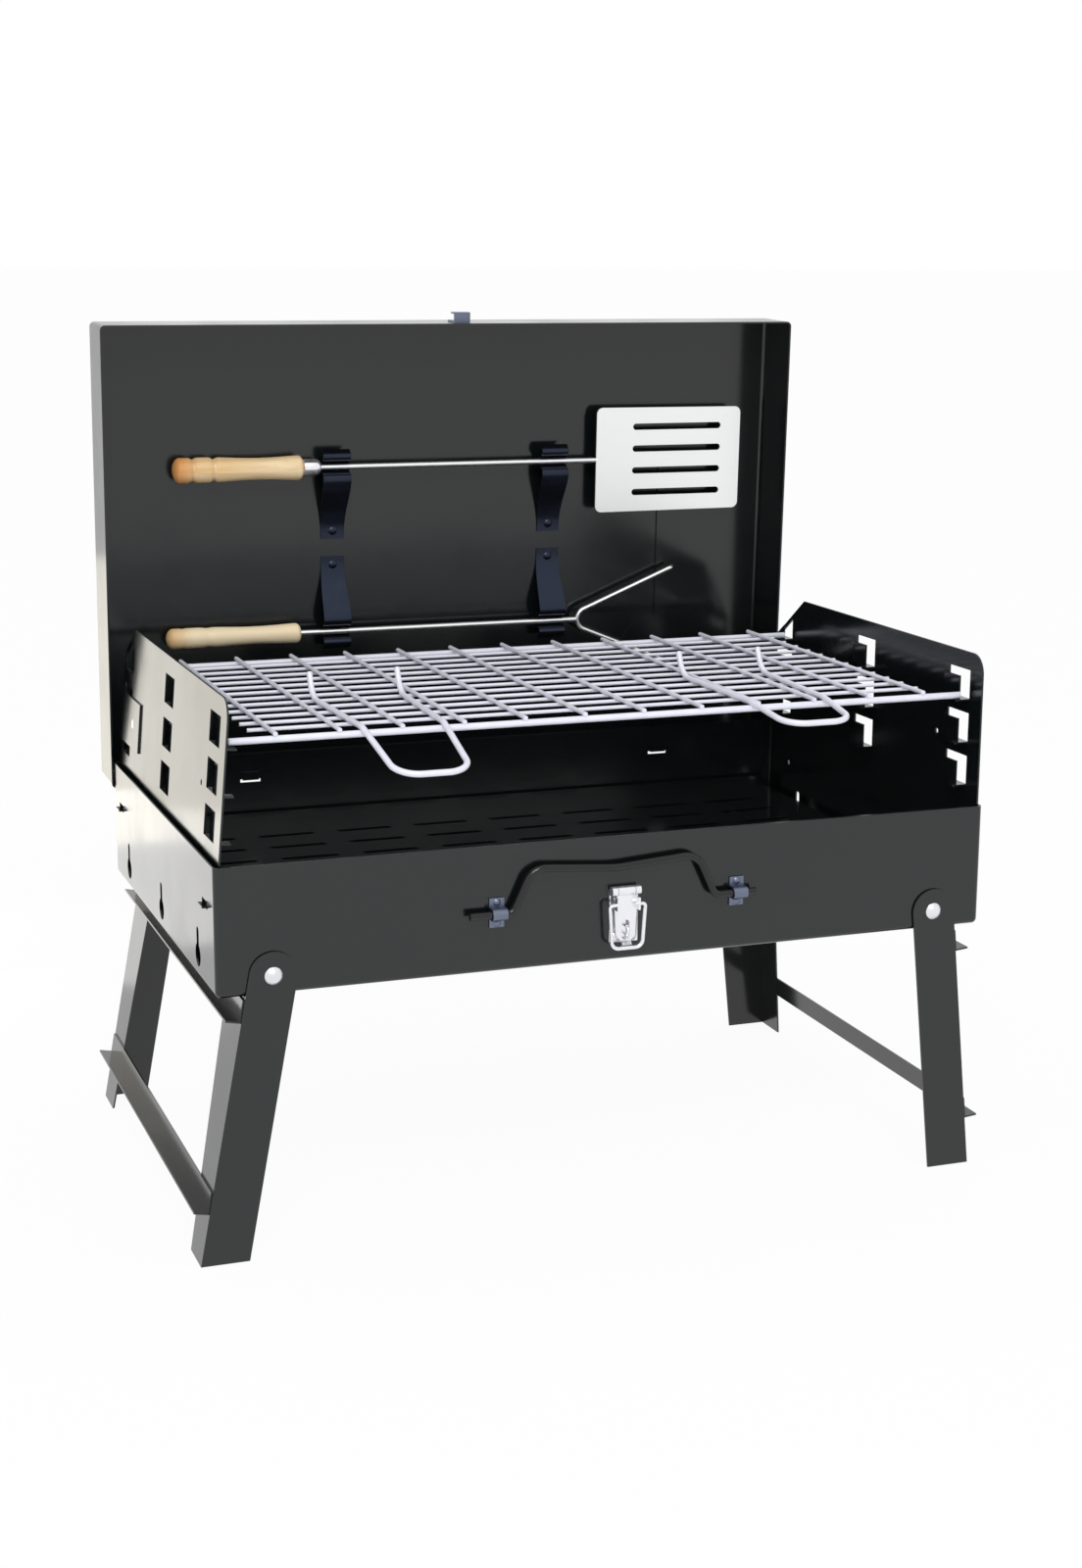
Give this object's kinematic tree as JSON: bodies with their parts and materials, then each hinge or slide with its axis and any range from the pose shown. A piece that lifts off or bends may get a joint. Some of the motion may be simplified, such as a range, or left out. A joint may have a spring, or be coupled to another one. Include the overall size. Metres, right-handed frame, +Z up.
{
  "type": "folding camp grill",
  "caption": "Folding sheet-steel charcoal grill that packs flat: a lidded firebox on splayed legs with fold-down windowed sides, a wire grid and clipped tools.",
  "frame": {"origin": "on the floor, under the middle of the open grill, tools and lift handles included", "axes": "+X to the user's right along the firebox, +Y to the lid hinge at the back, +Z up"},
  "size_m": [0.4488, 0.342, 0.4677],
  "materials": {
    "black_paint": "semi-gloss black stove enamel",
    "plated_steel": "bright plated steel",
    "stainless_steel": "brushed stainless steel",
    "beech": "oiled turned beech"
  },
  "bodies": {
    "firebox_body": {"firebox": "black_paint", "charcoal_grate": "black_paint", "leg_rivets": "plated_steel", "handle_straps": "black_paint", "handle_strap_rivets": "black_paint", "latch_base": "plated_steel", "latch_pin": "plated_steel", "latch_rivets": "plated_steel"},
    "left_legs": {"left_front_leg": "black_paint", "left_rear_leg": "black_paint", "left_lower_bar": "black_paint", "left_upper_bar": "black_paint"},
    "right_legs": {"right_front_leg": "black_paint", "right_rear_leg": "black_paint", "right_lower_bar": "black_paint", "right_upper_bar": "black_paint"},
    "lid_body": {"lid_shell": "black_paint", "lid_catch": "black_paint", "spatula_left_clip": "black_paint", "fork_left_clip": "black_paint", "spatula_right_clip": "black_paint", "fork_right_clip": "black_paint", "tool_clip_rivets": "plated_steel"},
    "left_panel": {"left_side_panel": "black_paint", "left_stay_plate": "black_paint", "left_stay_rivet": "plated_steel"},
    "right_panel": {"right_side_panel": "black_paint", "right_stay_plate": "black_paint", "right_stay_rivet": "plated_steel"},
    "grid_body": {"grid_frame": "plated_steel", "grid_cross_wires": "plated_steel", "grid_thin_wires": "plated_steel", "grid_left_lift": "plated_steel", "grid_right_lift": "plated_steel"},
    "spatula_body": {"spatula_handle": "beech", "spatula_ferrule": "stainless_steel", "spatula_rod": "stainless_steel", "spatula_blade": "stainless_steel"},
    "fork_body": {"fork_handle": "beech", "fork_rod": "stainless_steel", "fork_prongs": "stainless_steel"},
    "latch_lever_body": {"latch_lever": "plated_steel"},
    "latch_bail_body": {"latch_bail": "plated_steel"},
    "carry_handle_body": {"carry_handle": "black_paint"}
  },
  "joints": [
    {"name": "left_leg_fold", "type": "hinge", "parent": "firebox_body", "child": "left_legs", "pos_m": [-0.1811, -0.00041, 0.15], "axis": [0, -1, 0], "range_deg": [0, 100.5]},
    {"name": "right_leg_fold", "type": "hinge", "parent": "firebox_body", "child": "right_legs", "pos_m": [0.1909, -0.00041, 0.15], "axis": [0, 1, 0], "range_deg": [0, 96]},
    {"name": "lid_close", "type": "hinge", "parent": "firebox_body", "child": "lid_body", "pos_m": [0.0049, 0.13359, 0.192], "axis": [1, 0, 0], "range_deg": [0, 87.9]},
    {"name": "left_panel_fold", "type": "hinge", "parent": "firebox_body", "child": "left_panel", "pos_m": [-0.2091, -0.00041, 0.185], "axis": [0, 1, 0], "range_deg": [0, 85.2]},
    {"name": "right_panel_fold", "type": "hinge", "parent": "firebox_body", "child": "right_panel", "pos_m": [0.2189, -0.00041, 0.185], "axis": [0, -1, 0], "range_deg": [0, 90]},
    {"name": "grid_lift", "type": "slide", "parent": "firebox_body", "child": "grid_body", "axis": [0, -0.282, 0.9594], "range_m": [0, 1.3058]},
    {"name": "spatula_pull", "type": "slide", "parent": "lid_body", "child": "spatula_body", "axis": [0, 0.9993, 0.0366], "range_m": [-0.035, 0]},
    {"name": "fork_pull", "type": "slide", "parent": "lid_body", "child": "fork_body", "axis": [0, 0.9993, 0.0366], "range_m": [-0.035, 0]},
    {"name": "latch_lever", "type": "hinge", "parent": "firebox_body", "child": "latch_lever_body", "pos_m": [0.0069, -0.13801, 0.1784], "axis": [1, 0, 0], "range_deg": [-110, 0]},
    {"name": "latch_bail", "type": "hinge", "parent": "latch_lever_body", "child": "latch_bail_body", "pos_m": [0.0069, -0.14111, 0.1716], "axis": [1, 0, 0], "range_deg": [-65, 0]},
    {"name": "carry_handle", "type": "hinge", "parent": "firebox_body", "child": "carry_handle_body", "pos_m": [0.0009, -0.13901, 0.172], "axis": [-1, 0, 0], "range_deg": [-100, 0]}
  ],
  "couplings": [
    {"joint": "left_panel_fold", "follows": "lid_close", "ratio": 0.96928},
    {"joint": "right_panel_fold", "follows": "lid_close", "ratio": 1.0239},
    {"joint": "grid_lift", "follows": "lid_close", "m_per_rad": 0.85}
  ]
}
